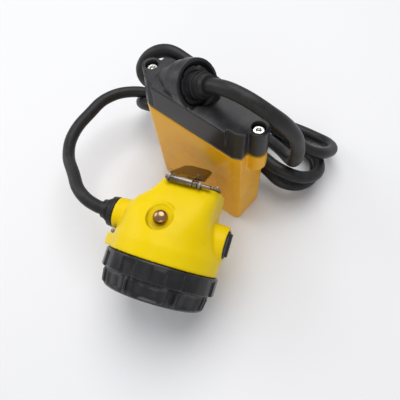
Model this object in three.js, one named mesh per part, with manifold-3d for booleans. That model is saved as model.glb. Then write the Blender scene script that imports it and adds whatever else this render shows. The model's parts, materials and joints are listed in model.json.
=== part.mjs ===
// Miner's corded cap lamp: a belt battery with its black lid and cable gland, a stored
// rubber cable, and the lamp head with bezel, lens, rotary switch and sprung helmet hook.
// Millimetres, +Z up. The origin is the centre of the battery's underside on the table.
import * as THREE from 'three';
import { ConvexGeometry } from 'three/addons/geometries/ConvexGeometry.js';
import { mergeVertices } from 'three/addons/utils/BufferGeometryUtils.js';
import Module from 'manifold-3d';

const wasm = await Module();
wasm.setup();

// ---------------------------------------------------------------- driving dimensions
const GAP = 0.3;                 // clearance between pieces that touch
const WALL = 1.9;                // moulded wall of the battery
const OVER = 1;                  // how far a cutting tool runs past the face it cuts
const FINEST_DETAIL = 0.004;     // slivers smaller than this are merged away
const BIG = 40;                  // facets round the large turned parts
const SMALL = 20;                // facets round screws, pins and bores

// battery
const BATTERY_LENGTH = 65.3;
const CELL_RADIUS = 9.15;
const CELL_ROOM = 1.15;          // between the cells and the broad walls
const BATTERY_WIDTH = 2 * (CELL_RADIUS + CELL_ROOM + WALL);
const CASE_HEIGHT = 62.9;
const LID_HEIGHT = 17.2;         // case rim to lid top
const LID_TOP = CASE_HEIGHT + LID_HEIGHT;
const CHAMFER_X = 4.1;
const CHAMFER_Y = 2.1;
const DRAFT = 0.6;               // the case is this much narrower per side at its foot
const FLOOR = 2.2;
const GASKET_THICK = 0.9;
const BOSS_REACH = 1.85;         // screw centre beyond the flat end of the case
const BOSS_RADIUS = 5.3;
const BOSS_DEPTH = 10.4;         // how far the screw bosses run down the case
const BOSS_TAPER = 6;
const ROOF = 2.6;
const LID_SHOULDER = 8.6;        // length of the lowered end stretches of the lid
const LID_STEP = 2.2;            // how far the middle of the lid stands proud of them

// lid screws
const SCREW_RADIUS = 1.5;
const SCREW_HEAD_RADIUS = 2.75;
const SCREW_HEAD_HEIGHT = 3;
const SCREW_SUNK = 2;            // head top below the lid top
const SCREW_LENGTH = 18;
const HEX_RADIUS = 1.45;
const HEX_DEPTH = 1.6;
const COUNTERBORE_RADIUS = 3.45;
const INSERT_RADIUS = 2.3;
const INSERT_LENGTH = 8;

// cells and electronics
const CELL_COUNT = 3;
const CELL_STAND = 6.1;          // how far the cells stand out of the case into the lid
const CELL_PITCH = 18.9;
const PAD_THICK = 1.2;
const STRAP_THICK = 0.4;
const STRAP_WIDTH = 7;
const BOARD_THICK = 1.2;
const BOARD_LENGTH = 17;
const BOARD_HALF_WIDTH = 6.5;
const CHIP_COUNT = 3;
const CHIP_HALF = 2.4;
const CHIP_HEIGHT = 1.2;

// cable gland hood on the lid
const HOOD_TILT = 29;            // gland axis rising towards the cable, degrees
const MOUTH_RADIUS = 9.6;
const MOUTH_DEPTH = 7;
const MOUTH_FLARE_RADIUS = MOUTH_RADIUS + 1.6;
const MOUTH_FLARE_DEPTH = 2;
const HOOD_RADIUS = MOUTH_FLARE_RADIUS + 1.6;
const HOOD_MOUTH_X = -1.7;
const POCKET_FOOT = LID_TOP - 8.9;   // underside of the pocket inside the lid
const POCKET_FLOOR = 1;          // material left under the gland pocket
const POCKET_ROOM = 0.51;        // between the pocket's floor and the round of the nut
const HOOD_LEAN = THREE.MathUtils.degToRad(HOOD_TILT);
const HOOD_MOUTH_Z = POCKET_FOOT + POCKET_FLOOR + POCKET_ROOM
  + MOUTH_DEPTH * Math.sin(HOOD_LEAN) + MOUTH_RADIUS * Math.cos(HOOD_LEAN);
const HOOD_START_X = -26;
const HOOD_START_Z = LID_TOP - 3.6;
const HOOD_START_RADIUS = 6.3;
const HOOD_STEPS = [0, 0.46, 0.74, 1];
const HOOD_STEP_HEIGHT = 1.1;
const HOOD_STEP_OVERLAP = 0.03;  // share of the hood's length that each step laps the last
const POCKET_LEFT = -15;
const POCKET_RIGHT = 9;
const NUT_SUNK = 1.2;
const NUT_SLOTS = 6;
const CABLE_RADIUS = 3.65;
const BOOT_ROOT_RADIUS = CABLE_RADIUS + 3.15;
const BOOT_NECK_RADIUS = CABLE_RADIUS + 2.45;
const BOOT_TIP_RADIUS = CABLE_RADIUS + 1.55;
const BOOT_RINGS = 2;
const BATTERY_BOOT_LENGTH = 8;
const WIRE_BORE_RADIUS = 2.2;

// cable
const CABLE_SIDES = 12;
const HANK_LENGTH = 137;
const HANK_WIDTH = 58;
const HANK_HEIGHT = 30;
const HANK_CENTRE_X = -9;
const HANK_CENTRE_Y = 43;
const HANK_FOOT = 0.3;
const LEAD = 3;                  // straight run of the cable out of each boot

// lamp head, measured along its own light axis
const HEAD_CENTRE = new THREE.Vector3(26.5, -66.5, 30.9);
const HEAD_YAW = 21;             // light axis turned from -Y towards +X, degrees
const HEAD_PITCH = 20;           // light axis pointing down, degrees
const RIM_RADIUS = 28.5;
const RIM_LENGTH = 8;
const BODY_BACK = 41;            // rim face to the flat back
const BACK_LEFT = -11;
const BACK_RIGHT = 20.5;
const BACK_HALF = 11;
const BACK_CORNER = 2.5;
const HEAD_WALL = 2.5;
const COLLAR_STEP = 3.3;         // shoulder between the rim and the threaded collar
const COLLAR_RADIUS = RIM_RADIUS - COLLAR_STEP;
const COLLAR_WALL = 2.3;
const COLLAR_LENGTH = 11.5;
const BORE_RADIUS = COLLAR_RADIUS - COLLAR_WALL;
const PORT_Z = -17.5;            // cable and switch axes behind the rim face
const CABLE_BOSS_RADIUS = 8.7;
const CABLE_BOSS_REACH = RIM_RADIUS + 3.5;
const HEAD_BOOT_REACH = 8.8;     // boot standing out of the cable boss
const HEAD_BOOT_FLANGE = 3.4;
const KNOB_RADIUS = 7;
const SWITCH_BOSS_RADIUS = KNOB_RADIUS + 2.2;
const SWITCH_BOSS_REACH = RIM_RADIUS + 0.3;
const LUG_REACH = RIM_RADIUS + 3;
const LUG_WIDTH = 17;
const LUG_ROOT = 20;             // where the lug's sides meet the round rim
const LUG_CORNER = 1.5;
const LUG_THICK = 6.4;
const LOCK_X = 3.3 - LUG_REACH;
const LOCK_Y = 5;
const LOCK_HEAD_RADIUS = 2.5;
const LOCK_HEAD_HEIGHT = 2;
const LOCK_ROOM = 3.6;           // recess above the lug for the lock screw's head

// bezel and lens
const BAND_RADIUS = RIM_RADIUS + 1.1;
const BAND_LENGTH = 9.3;
const BEZEL_LENGTH = 18.3;
const BEZEL_SHOULDER_RADIUS = BAND_RADIUS - 2;
const BEZEL_FRONT_RADIUS = BAND_RADIUS - 3.8;
const BEZEL_OPENING = BORE_RADIUS - 1.4;
const BEZEL_LIP = 2.6;
const THREAD_GAP = 0.4;
const GRIP_COUNT = 12;
const GRIP_CUT_WIDTH = 7;
const GRIP_CUT_DEPTH = 0.9;
const RIB_COUNT = 8;
const RIB_WIDTH = 2.2;
const RIB_HEIGHT = 0.7;
const LENS_RADIUS = COLLAR_RADIUS + THREAD_GAP - 0.8;
const LENS_THICK = 2;
const LENS_GASKET_THICK = 1.2;

// reflector, light source and heat path
const REFLECTOR_FLANGE = BORE_RADIUS - 0.4;
const REFLECTOR_MOUTH = REFLECTOR_FLANGE - 2;
const REFLECTOR_NECK = 4.6;
const REFLECTOR_TOP = 11.2;
const REFLECTOR_FOOT = -4.5;
const REFLECTOR_SKIN = 1;
const LED_BOARD_RADIUS = 10;
const SINK_RADIUS = 13;
const SINK_THICK = 4;
const DRIVER_BOARD_HALF = 8;

// rotary switch
const KNOB_THICK = 2.4;
const KNOB_RECESS = 2;
const KNOB_BAR_WIDTH = 2.4;
const KNOB_BAR_HEIGHT = 1.2;
const SHAFT_RADIUS = 2;
const SHAFT_LENGTH = 9.5;
const SEAL_BORE = 2.3;
const SEAL_RADIUS = 3.6;

// charging contact
const CONTACT_X = -2;
const CONTACT_Z = -20.5;
const CONTACT_SEAT = 21;         // spot-faced seat above the light axis
const CONTACT_RADIUS = 3.65;
const CONTACT_SEAT_RADIUS = CONTACT_RADIUS + 2.85;
const CONTACT_HEIGHT = 2.8;
const CONTACT_STEM = 1.5;
const CONTACT_STEM_LENGTH = 9;

// helmet hook
const HOOK_TILT = 25.6;          // tongue leaning away from the back of the head, degrees
const HOOK_LENGTH = 25.5;
const HOOK_TOP_WIDTH = 19.3;
const HOOK_TIP_WIDTH = 15.5;
const HOOK_SHEET = 1.2;
const BRACKET_SHEET = 0.8;
const HOOK_X = 1.9;              // middle of the tongue
const HOOK_PIN_Y = 14.4;
const HOOK_PIN_Z = -41.2;
const HOOK_PIN_RADIUS = 1;
const KNUCKLE_RADIUS = 2.1;
const EAR_INSET = 0.9;           // bracket ears inside the tongue's full width
const SPRING_LENGTH = 2.6;
const HOOK_SCREWS = [-5, 4];
const HOOK_SCREW_RADIUS = 1.2;
const HOOK_HEAD_RADIUS = 2;
const HOOK_SCREW_REACH = 4.5;

// ------------------------------------------------------------------- solid helpers
function solid(geometry) {
  const bare = geometry.clone();
  bare.deleteAttribute('normal');
  bare.deleteAttribute('uv');
  const merged = mergeVertices(bare, 1e-4);
  const index = merged.index.array;
  const triangles = [];
  for (let i = 0; i < index.length; i += 3) {
    const [a, b, c] = [index[i], index[i + 1], index[i + 2]];
    if (a !== b && b !== c && c !== a) triangles.push(a, b, c);
  }
  const build = (list) => new wasm.Manifold(new wasm.Mesh({
    numProp: 3,
    vertProperties: new Float32Array(merged.attributes.position.array),
    triVerts: new Uint32Array(list),
  }));
  const first = build(triangles);
  if (first.volume() > 0) return first;
  return build(triangles.slice().reverse());
}

function moved(geometry, x, y, z) {
  geometry.translate(x, y, z);
  return geometry;
}

// round bar from a to b along one of the axes 'x', 'y' or 'z'; r2 is the radius at b
function bar(axis, a, b, r, [u, v], sides = SMALL, r2 = r) {
  const geometry = new THREE.CylinderGeometry(r2, r, b - a, sides);
  const middle = (a + b) / 2;
  if (axis === 'x') return solid(moved(geometry.rotateZ(-Math.PI / 2), middle, u, v));
  if (axis === 'y') return solid(moved(geometry, u, middle, v));
  return solid(moved(geometry.rotateX(Math.PI / 2), u, v, middle));
}

function block(x0, x1, y0, y1, z0, z1) {
  const geometry = new THREE.BoxGeometry(x1 - x0, y1 - y0, z1 - z0);
  return solid(moved(geometry, (x0 + x1) / 2, (y0 + y1) / 2, (z0 + z1) / 2));
}

// turned part about the Z axis from [radius, height] pairs
function turned(profile, sides = BIG) {
  const points = profile.map(([r, z]) => new THREE.Vector2(r, z));
  return solid(new THREE.LatheGeometry(points, sides).rotateX(Math.PI / 2));
}

// ring about one axis between two radii
function ring(axis, a, b, outer, inner, centre, sides = SMALL) {
  const disc = bar(axis, a, b, outer, centre, sides);
  return disc.subtract(bar(axis, a - OVER, b + OVER, inner, centre, sides));
}

function hull(points) {
  return solid(new ConvexGeometry(points));
}

function joined(list) {
  return list.reduce((all, one) => all.add(one));
}

function cut(base, list) {
  return list.reduce((left, one) => left.subtract(one), base);
}

// ---------------------------------------------------------------------- assembly
const lamp = new THREE.Group();
lamp.name = 'miners_cap_lamp';

const PAINTS = {
  caseYellow: [0xd9920c, 0.42, 0],
  headYellow: [0xe8cc08, 0.35, 0],
  black: [0x17181a, 0.5, 0],
  rubber: [0x101112, 0.75, 0],
  gasket: [0x2a2a2c, 0.85, 0],
  steel: [0xb9b7b2, 0.3, 1],
  brass: [0xa8743c, 0.35, 1],
  nickel: [0xc9c7bf, 0.3, 1],
  copperBrass: [0xb88a4a, 0.35, 1],
  cell: [0x2c6f9e, 0.5, 0],
  foam: [0x3a3a3c, 0.95, 0],
  board: [0x1d5a32, 0.6, 0],
  aluminium: [0xc4c6c8, 0.4, 1],
  mirror: [0xe6e6e6, 0.08, 1],
  lens: [0xe8eef0, 0.08, 0],
  led: [0xe8d36a, 0.4, 0],
  plastic: [0x55585c, 0.6, 0],
};

function place(name, shape, paint, matrix = null) {
  const data = shape.simplify(FINEST_DETAIL).getMesh();
  let geometry = new THREE.BufferGeometry();
  geometry.setAttribute('position', new THREE.BufferAttribute(data.vertProperties, 3));
  geometry.setIndex(new THREE.BufferAttribute(data.triVerts, 1));
  if (matrix) geometry.applyMatrix4(matrix);
  geometry.computeVertexNormals();
  const [color, roughness, metalness] = PAINTS[paint];
  const material = new THREE.MeshStandardMaterial({ color, roughness, metalness });
  const mesh = new THREE.Mesh(geometry, material);
  mesh.name = name;
  lamp.add(mesh);
}

// ---------------------------------------------------------------------- battery
const HALF_LENGTH = BATTERY_LENGTH / 2;
const HALF_WIDTH = BATTERY_WIDTH / 2;
const SCREW_X = HALF_LENGTH + BOSS_REACH;
const LID_FOOT = CASE_HEIGHT + GASKET_THICK + 2 * GAP;
const SIDES = [['left', -1], ['right', 1]];

// corner points of the chamfered battery outline, shrunk by inset, at one height
function outline(inset, z, insetY = inset) {
  const x = HALF_LENGTH - inset;
  const y = HALF_WIDTH - insetY;
  const points = [];
  for (const sx of [-1, 1]) {
    for (const sy of [-1, 1]) {
      points.push(new THREE.Vector3(sx * x, sy * (y - CHAMFER_Y), z));
      points.push(new THREE.Vector3(sx * (x - CHAMFER_X), sy * y, z));
    }
  }
  return points;
}

function prism(z0, inset0, z1, inset1, insetY1 = inset1) {
  return hull([...outline(inset0, z0), ...outline(inset1, z1, insetY1)]);
}

function batteryCase() {
  let shell = prism(0, DRAFT, CASE_HEIGHT, 0);
  for (const [, side] of SIDES) {
    const x = side * SCREW_X;
    const foot = CASE_HEIGHT - BOSS_DEPTH;
    shell = shell.add(bar('z', foot, CASE_HEIGHT, BOSS_RADIUS, [x, 0]));
    const root = new THREE.CylinderGeometry(BOSS_RADIUS, BOSS_RADIUS / 2, BOSS_TAPER, SMALL);
    root.rotateX(Math.PI / 2);
    const lean = side * BOSS_RADIUS / 2 / BOSS_TAPER;
    root.applyMatrix4(new THREE.Matrix4().makeShear(0, 0, 0, 0, lean, 0));
    const shift = side * BOSS_RADIUS / 4;
    shell = shell.add(solid(moved(root, x - shift, 0, foot - BOSS_TAPER / 2)));
  }
  const tools = [prism(FLOOR, WALL + DRAFT, CASE_HEIGHT + OVER, WALL)];
  for (const [, side] of SIDES) {
    const depth = INSERT_LENGTH + 2 * GAP;
    tools.push(bar('z', CASE_HEIGHT - depth, CASE_HEIGHT + OVER, INSERT_RADIUS + GAP,
      [side * SCREW_X, 0]));
  }
  return cut(shell, tools);
}

function lidGasket() {
  const top = CASE_HEIGHT + GAP + GASKET_THICK;
  const band = prism(CASE_HEIGHT + GAP, GAP, top, GAP);
  return band.subtract(prism(CASE_HEIGHT - OVER, WALL, top + OVER, WALL));
}

// moves a piece drawn along +X from the mouth into the rising gland axis
function leaned(shape) {
  return shape.rotate([0, -HOOD_TILT, 0]).translate([HOOD_MOUTH_X, 0, HOOD_MOUTH_Z]);
}

// circle across the hood at a share of its length, leaning further towards the mouth
function hoodCircle(share, extra) {
  const x = HOOD_START_X + (HOOD_MOUTH_X - HOOD_START_X) * share;
  const z = HOOD_START_Z + (HOOD_MOUTH_Z - HOOD_START_Z) * share;
  const radius = HOOD_START_RADIUS + (HOOD_RADIUS - HOOD_START_RADIUS) * share + extra;
  const lean = THREE.MathUtils.degToRad(HOOD_TILT * share);
  const points = [];
  for (let i = 0; i < BIG; i += 1) {
    const angle = (i / BIG) * 2 * Math.PI;
    const rise = radius * Math.sin(angle);
    points.push(new THREE.Vector3(
      x - rise * Math.sin(lean),
      radius * Math.cos(angle),
      z + rise * Math.cos(lean),
    ));
  }
  return points;
}

// horn-shaped fairing in steps, widening towards its mouth
function hood() {
  const pieces = [];
  for (let i = 1; i < HOOD_STEPS.length; i += 1) {
    const first = i === 1;
    const start = HOOD_STEPS[i - 1] - (first ? 0 : HOOD_STEP_OVERLAP);
    const step = first ? 0 : HOOD_STEP_HEIGHT;
    pieces.push(hull([...hoodCircle(start, step), ...hoodCircle(HOOD_STEPS[i], 0)]));
  }
  const within = HALF_WIDTH - OVER / 2;
  const keep = block(-HALF_LENGTH, HALF_LENGTH, -within, within,
    LID_TOP - ROOF / 2, LID_TOP + 2 * HOOD_RADIUS);
  const beside = HOOD_RADIUS + OVER;
  const above = block(-HALF_LENGTH, HALF_LENGTH, -beside, beside,
    LID_TOP - OVER / 2, LID_TOP + 2 * HOOD_RADIUS);
  return joined(pieces).intersect(keep.add(above));
}

// round pocket that takes the nut, with a flared mouth and a wire way at its back
function glandPocket() {
  const beside = HOOD_RADIUS + OVER;
  const floor = block(-HALF_LENGTH, HALF_LENGTH, -beside, beside,
    POCKET_FOOT + POCKET_FLOOR, LID_TOP + 2 * HOOD_RADIUS);
  const bore = leaned(bar('x', -MOUTH_DEPTH, MOUTH_DEPTH, MOUTH_RADIUS, [0, 0], BIG));
  const flare = leaned(bar('x', -MOUTH_FLARE_DEPTH, MOUTH_FLARE_DEPTH, MOUTH_RADIUS, [0, 0], BIG,
    2 * MOUTH_FLARE_RADIUS - MOUTH_RADIUS));
  const back = leaned(bar('x', -MOUTH_DEPTH - 2 * WIRE_BORE_RADIUS, -MOUTH_DEPTH + OVER,
    WIRE_BORE_RADIUS, [0, 0]));
  const along = MOUTH_DEPTH + WIRE_BORE_RADIUS;
  const x = HOOD_MOUTH_X - along * Math.cos(HOOD_LEAN);
  const z = HOOD_MOUTH_Z - along * Math.sin(HOOD_LEAN);
  const down = bar('z', POCKET_FOOT - OVER, z, WIRE_BORE_RADIUS, [x, 0]);
  return joined([joined([bore, flare]).intersect(floor), back, down]);
}

function batteryLid() {
  const middle = HALF_LENGTH - LID_SHOULDER;
  let shell = prism(LID_FOOT, 0, LID_TOP, 0, LID_STEP);
  shell = shell.add(block(-middle, middle, -HALF_WIDTH, HALF_WIDTH, LID_FOOT, LID_TOP));
  for (const [, side] of SIDES) {
    shell = shell.add(bar('z', LID_FOOT, LID_TOP, BOSS_RADIUS, [side * SCREW_X, 0]));
  }
  shell = shell.add(hood());
  shell = shell.subtract(prism(LID_FOOT - OVER, WALL, LID_TOP - ROOF, WALL, WALL + LID_STEP));
  const inside = HALF_WIDTH - WALL;
  shell = shell.add(block(POCKET_LEFT, POCKET_RIGHT, -inside, inside, POCKET_FOOT,
    LID_TOP - ROOF / 2));
  const tools = [glandPocket()];
  for (const [, side] of SIDES) {
    const x = side * SCREW_X;
    const seat = LID_TOP - SCREW_SUNK - SCREW_HEAD_HEIGHT - GAP;
    tools.push(bar('z', seat, LID_TOP + OVER, COUNTERBORE_RADIUS, [x, 0]));
    tools.push(bar('z', LID_FOOT - OVER, seat + OVER, SCREW_RADIUS + GAP, [x, 0]));
  }
  return cut(shell, tools);
}

function socketScrew(x, top) {
  const head = top - SCREW_HEAD_HEIGHT;
  const screw = joined([
    bar('z', head, top, SCREW_HEAD_RADIUS, [x, 0]),
    bar('z', head - SCREW_LENGTH, head + OVER, SCREW_RADIUS, [x, 0]),
  ]);
  return screw.subtract(bar('z', top - HEX_DEPTH, top + OVER, HEX_RADIUS, [x, 0], 6));
}

const CELL_FOOT = FLOOR + PAD_THICK + 2 * GAP;
const CELL_TOP = CASE_HEIGHT + CELL_STAND;
const STRAP_Z = CELL_TOP + 1 + GAP;
const BOARD_Z = STRAP_Z + STRAP_THICK + 1;

function cell(x) {
  const button = 1;
  return joined([
    bar('z', CELL_FOOT, CELL_TOP, CELL_RADIUS, [x, 0], 28),
    bar('z', CELL_TOP - OVER, CELL_TOP + button, 2.8, [x, 0]),
  ]);
}

// board with its chips, beside the gland pocket
function protectionBoard() {
  const start = POCKET_RIGHT + 2;
  const end = start + BOARD_LENGTH;
  const top = BOARD_Z + BOARD_THICK;
  const parts = [block(start, end, -BOARD_HALF_WIDTH, BOARD_HALF_WIDTH, BOARD_Z, top)];
  for (let i = 0; i < CHIP_COUNT; i += 1) {
    const x = start + (i + 0.5) * (BOARD_LENGTH / CHIP_COUNT);
    parts.push(block(x - CHIP_HALF, x + CHIP_HALF, -CHIP_HALF, CHIP_HALF,
      top - BOARD_THICK / 2, top + CHIP_HEIGHT));
  }
  return joined(parts);
}

function battery() {
  place('battery_case', batteryCase(), 'caseYellow');
  place('lid_gasket', lidGasket(), 'gasket');
  place('battery_lid', batteryLid(), 'black');
  for (const [name, side] of SIDES) {
    place(`lid_screw_${name}`, socketScrew(side * SCREW_X, LID_TOP - SCREW_SUNK), 'nickel');
    place(`lid_insert_${name}`, ring('z', CASE_HEIGHT - INSERT_LENGTH - GAP, CASE_HEIGHT - GAP,
      INSERT_RADIUS, SCREW_RADIUS + GAP, [side * SCREW_X, 0]), 'copperBrass');
  }
  const padX = HALF_LENGTH - WALL - DRAFT - CHAMFER_X;
  const padY = HALF_WIDTH - WALL - DRAFT - GAP;
  const padFoot = FLOOR + GAP;
  place('cell_pad', block(-padX, padX, -padY, padY, padFoot, padFoot + PAD_THICK), 'foam');
  for (let i = 0; i < CELL_COUNT; i += 1) {
    place(`cell_${i + 1}`, cell((i - (CELL_COUNT - 1) / 2) * CELL_PITCH), 'cell');
  }
  const reach = CELL_PITCH + STRAP_WIDTH / 2;
  place('cell_strap', block(-reach, reach, -STRAP_WIDTH / 2, STRAP_WIDTH / 2,
    STRAP_Z, STRAP_Z + STRAP_THICK), 'nickel');
  place('protection_board', protectionBoard(), 'board');
}

// ------------------------------------------------------------- gland on the battery
function glandNut() {
  const back = -MOUTH_DEPTH + GAP;
  const front = -NUT_SUNK;
  const nut = ring('x', back, front, MOUTH_RADIUS - GAP, BOOT_ROOT_RADIUS + GAP, [0, 0], BIG);
  const slotDepth = 1.4;
  const tools = [];
  for (let i = 0; i < NUT_SLOTS; i += 1) {
    const geometry = new THREE.BoxGeometry(2 * slotDepth, 2, slotDepth);
    geometry.translate(front, 0, MOUTH_RADIUS - GAP);
    geometry.rotateX((i + 0.5) * (2 * Math.PI / NUT_SLOTS));
    tools.push(solid(geometry));
  }
  return leaned(cut(nut, tools));
}

// ringed strain relief with a flange under the nut
function batteryBoot() {
  const back = -MOUTH_DEPTH + GAP;
  const centre = [0, 0];
  const parts = [
    bar('x', back, -NUT_SUNK, BOOT_ROOT_RADIUS, centre, 28),
    bar('x', -NUT_SUNK - OVER, BATTERY_BOOT_LENGTH, BOOT_NECK_RADIUS, centre, 28,
      BOOT_TIP_RADIUS),
  ];
  const pitch = (BATTERY_BOOT_LENGTH + NUT_SUNK) / (BOOT_RINGS + 1);
  for (let i = 0; i < BOOT_RINGS; i += 1) {
    const x = -NUT_SUNK + (i + 0.6) * pitch;
    parts.push(bar('x', x, x + pitch / 2, BOOT_ROOT_RADIUS - i * 0.4, centre, 28));
  }
  return leaned(joined(parts));
}

// ---------------------------------------------------------------------- lamp head
const LIGHT_AXIS = new THREE.Vector3(
  Math.sin(THREE.MathUtils.degToRad(HEAD_YAW)) * Math.cos(THREE.MathUtils.degToRad(HEAD_PITCH)),
  -Math.cos(THREE.MathUtils.degToRad(HEAD_YAW)) * Math.cos(THREE.MathUtils.degToRad(HEAD_PITCH)),
  -Math.sin(THREE.MathUtils.degToRad(HEAD_PITCH)),
);
const SWITCH_AXIS = new THREE.Vector3(
  Math.cos(THREE.MathUtils.degToRad(HEAD_YAW)),
  Math.sin(THREE.MathUtils.degToRad(HEAD_YAW)),
  0,
);
const CROWN_AXIS = new THREE.Vector3().crossVectors(LIGHT_AXIS, SWITCH_AXIS);
// head pieces are drawn with +X to the switch, +Y to the contact and +Z along the light
const HEAD = new THREE.Matrix4()
  .makeBasis(SWITCH_AXIS, CROWN_AXIS, LIGHT_AXIS)
  .setPosition(HEAD_CENTRE);

function circlePoints(radius, z) {
  const points = [];
  for (let i = 0; i < BIG; i += 1) {
    const angle = (i / BIG) * 2 * Math.PI;
    points.push(new THREE.Vector3(radius * Math.cos(angle), radius * Math.sin(angle), z));
  }
  return points;
}

// flat back of the head with clipped corners, shrunk by inset
function backPoints(inset, z) {
  const points = [];
  for (const x of [BACK_LEFT + inset, BACK_RIGHT - inset]) {
    for (const y of [-BACK_HALF + inset, BACK_HALF - inset]) {
      const inX = x - Math.sign(x - (BACK_LEFT + BACK_RIGHT) / 2) * BACK_CORNER;
      const inY = y - Math.sign(y) * BACK_CORNER;
      points.push(new THREE.Vector3(inX, y, z), new THREE.Vector3(x, inY, z));
    }
  }
  return points;
}

// lug for the lock screw, widening from its end into the round rim
function lugPlate() {
  const half = LUG_WIDTH / 2;
  const points = [];
  for (const z of [-LUG_THICK, -GAP]) {
    for (const side of [-1, 1]) {
      points.push(new THREE.Vector3(-LUG_REACH, side * (half - LUG_CORNER), z));
      points.push(new THREE.Vector3(-LUG_REACH + LUG_CORNER, side * half, z));
      points.push(new THREE.Vector3(-LUG_ROOT, side * (LUG_ROOT - OVER), z));
    }
  }
  return hull(points);
}

function headHousing() {
  const port = [0, PORT_Z];
  const shell = joined([
    hull([...circlePoints(RIM_RADIUS, 0), ...circlePoints(RIM_RADIUS, -RIM_LENGTH),
      ...backPoints(0, -BODY_BACK)]),
    bar('z', -OVER, COLLAR_LENGTH, COLLAR_RADIUS, [0, 0], BIG),
    bar('x', -CABLE_BOSS_REACH, 0, CABLE_BOSS_RADIUS, port, 32),
    bar('x', 0, SWITCH_BOSS_REACH, SWITCH_BOSS_RADIUS + 1.4, port, 32, SWITCH_BOSS_RADIUS),
    lugPlate(),
  ]);
  const inside = hull([
    ...circlePoints(BORE_RADIUS, 0),
    ...circlePoints(BORE_RADIUS, -RIM_LENGTH),
    ...backPoints(HEAD_WALL, -BODY_BACK + HEAD_WALL),
  ]);
  const tools = [
    inside,
    bar('z', -OVER, COLLAR_LENGTH + OVER, BORE_RADIUS, [0, 0], BIG),
    // gland bore and its counterbore
    bar('x', -CABLE_BOSS_REACH - OVER, -CABLE_BOSS_REACH + 12, BOOT_TIP_RADIUS + 1, port, 28),
    bar('x', -CABLE_BOSS_REACH, -BORE_RADIUS + 4, CABLE_RADIUS + GAP, port, 28),
    // switch recess and shaft bore
    bar('x', SWITCH_BOSS_REACH - KNOB_RECESS, SWITCH_BOSS_REACH + OVER, KNOB_RADIUS + GAP,
      port, 32),
    bar('x', BORE_RADIUS - 8, SWITCH_BOSS_REACH, SHAFT_RADIUS + GAP, port),
    bar('x', SWITCH_BOSS_REACH - KNOB_RECESS - 2.4, SWITCH_BOSS_REACH, SEAL_RADIUS + GAP, port),
    // contact seat and stem hole
    bar('y', CONTACT_SEAT, CONTACT_SEAT + RIM_RADIUS, CONTACT_SEAT_RADIUS,
      [CONTACT_X, CONTACT_Z], 28),
    bar('y', CONTACT_SEAT - CONTACT_STEM_LENGTH, CONTACT_SEAT + OVER, CONTACT_STEM + GAP,
      [CONTACT_X, CONTACT_Z]),
    // lock screw hole
    bar('z', -LUG_THICK - OVER, OVER, SCREW_RADIUS + GAP, [LOCK_X, LOCK_Y]),
    bar('z', -LUG_THICK - LOCK_ROOM, -LUG_THICK, LOCK_HEAD_RADIUS + 0.5, [LOCK_X, LOCK_Y]),
  ];
  for (const y of HOOK_SCREWS) {
    tools.push(bar('z', -BODY_BACK - OVER, -BODY_BACK + HEAD_WALL + OVER, HOOK_SCREW_RADIUS + GAP,
      [HOOK_X, y]));
  }
  return cut(shell, tools);
}

function bezelRing() {
  const shoulder = 1.1;
  let body = turned([
    [COLLAR_RADIUS + THREAD_GAP, GAP],
    [BAND_RADIUS - 0.5, GAP],
    [BAND_RADIUS, GAP + 0.6],
    [BAND_RADIUS, BAND_LENGTH - 0.5],
    [BAND_RADIUS - 0.5, BAND_LENGTH],
    [BEZEL_SHOULDER_RADIUS, BAND_LENGTH + 0.2],
    [BEZEL_FRONT_RADIUS + 0.6, BEZEL_LENGTH - shoulder],
    [BEZEL_FRONT_RADIUS - 0.6, BEZEL_LENGTH],
    [BEZEL_OPENING, BEZEL_LENGTH],
    [BEZEL_OPENING, BEZEL_LENGTH - BEZEL_LIP],
    [COLLAR_RADIUS + THREAD_GAP, BEZEL_LENGTH - BEZEL_LIP],
    [COLLAR_RADIUS + THREAD_GAP, GAP],
  ], 48);
  for (let i = 0; i < GRIP_COUNT; i += 1) {
    const geometry = new THREE.BoxGeometry(4, GRIP_CUT_WIDTH, BAND_LENGTH);
    geometry.translate(BAND_RADIUS - GRIP_CUT_DEPTH + 2, 0, BAND_LENGTH / 2 + 1.2);
    geometry.rotateZ((i + 0.5) * 2 * Math.PI / GRIP_COUNT);
    body = body.subtract(solid(geometry));
  }
  for (let i = 0; i < RIB_COUNT; i += 1) {
    const length = BEZEL_LENGTH - BAND_LENGTH - shoulder;
    const middle = (BEZEL_SHOULDER_RADIUS + BEZEL_FRONT_RADIUS) / 2;
    const geometry = new THREE.BoxGeometry(2 + RIB_HEIGHT, RIB_WIDTH, length + 1);
    geometry.rotateY(-Math.atan2(BEZEL_SHOULDER_RADIUS - BEZEL_FRONT_RADIUS, length));
    geometry.translate(middle - 0.6, 0, BAND_LENGTH + length / 2);
    geometry.rotateZ((i + 0.25) * 2 * Math.PI / RIB_COUNT);
    body = body.add(solid(geometry));
  }
  return body.subtract(bar('z', 0, BEZEL_LENGTH - BEZEL_LIP, COLLAR_RADIUS + THREAD_GAP,
    [0, 0], 48));
}

const GASKET_BACK = COLLAR_LENGTH + GAP;
const LENS_BACK = GASKET_BACK + LENS_GASKET_THICK + GAP;

function reflector() {
  const depth = REFLECTOR_TOP - REFLECTOR_FOOT;
  const steps = 7;
  const inner = [];
  const outer = [];
  for (let i = 0; i <= steps; i += 1) {
    const rise = (i / steps) ** 2;
    const radius = REFLECTOR_NECK + (REFLECTOR_MOUTH - REFLECTOR_NECK) * Math.sqrt(rise);
    const z = REFLECTOR_FOOT + depth * rise;
    inner.push([radius, z]);
    if (i < steps) outer.push([radius + REFLECTOR_SKIN, z]);
  }
  return turned([
    ...inner,
    [REFLECTOR_FLANGE, REFLECTOR_TOP],
    [REFLECTOR_FLANGE, REFLECTOR_TOP - REFLECTOR_SKIN],
    ...outer.reverse(),
    inner[0],
  ], BIG);
}

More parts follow.
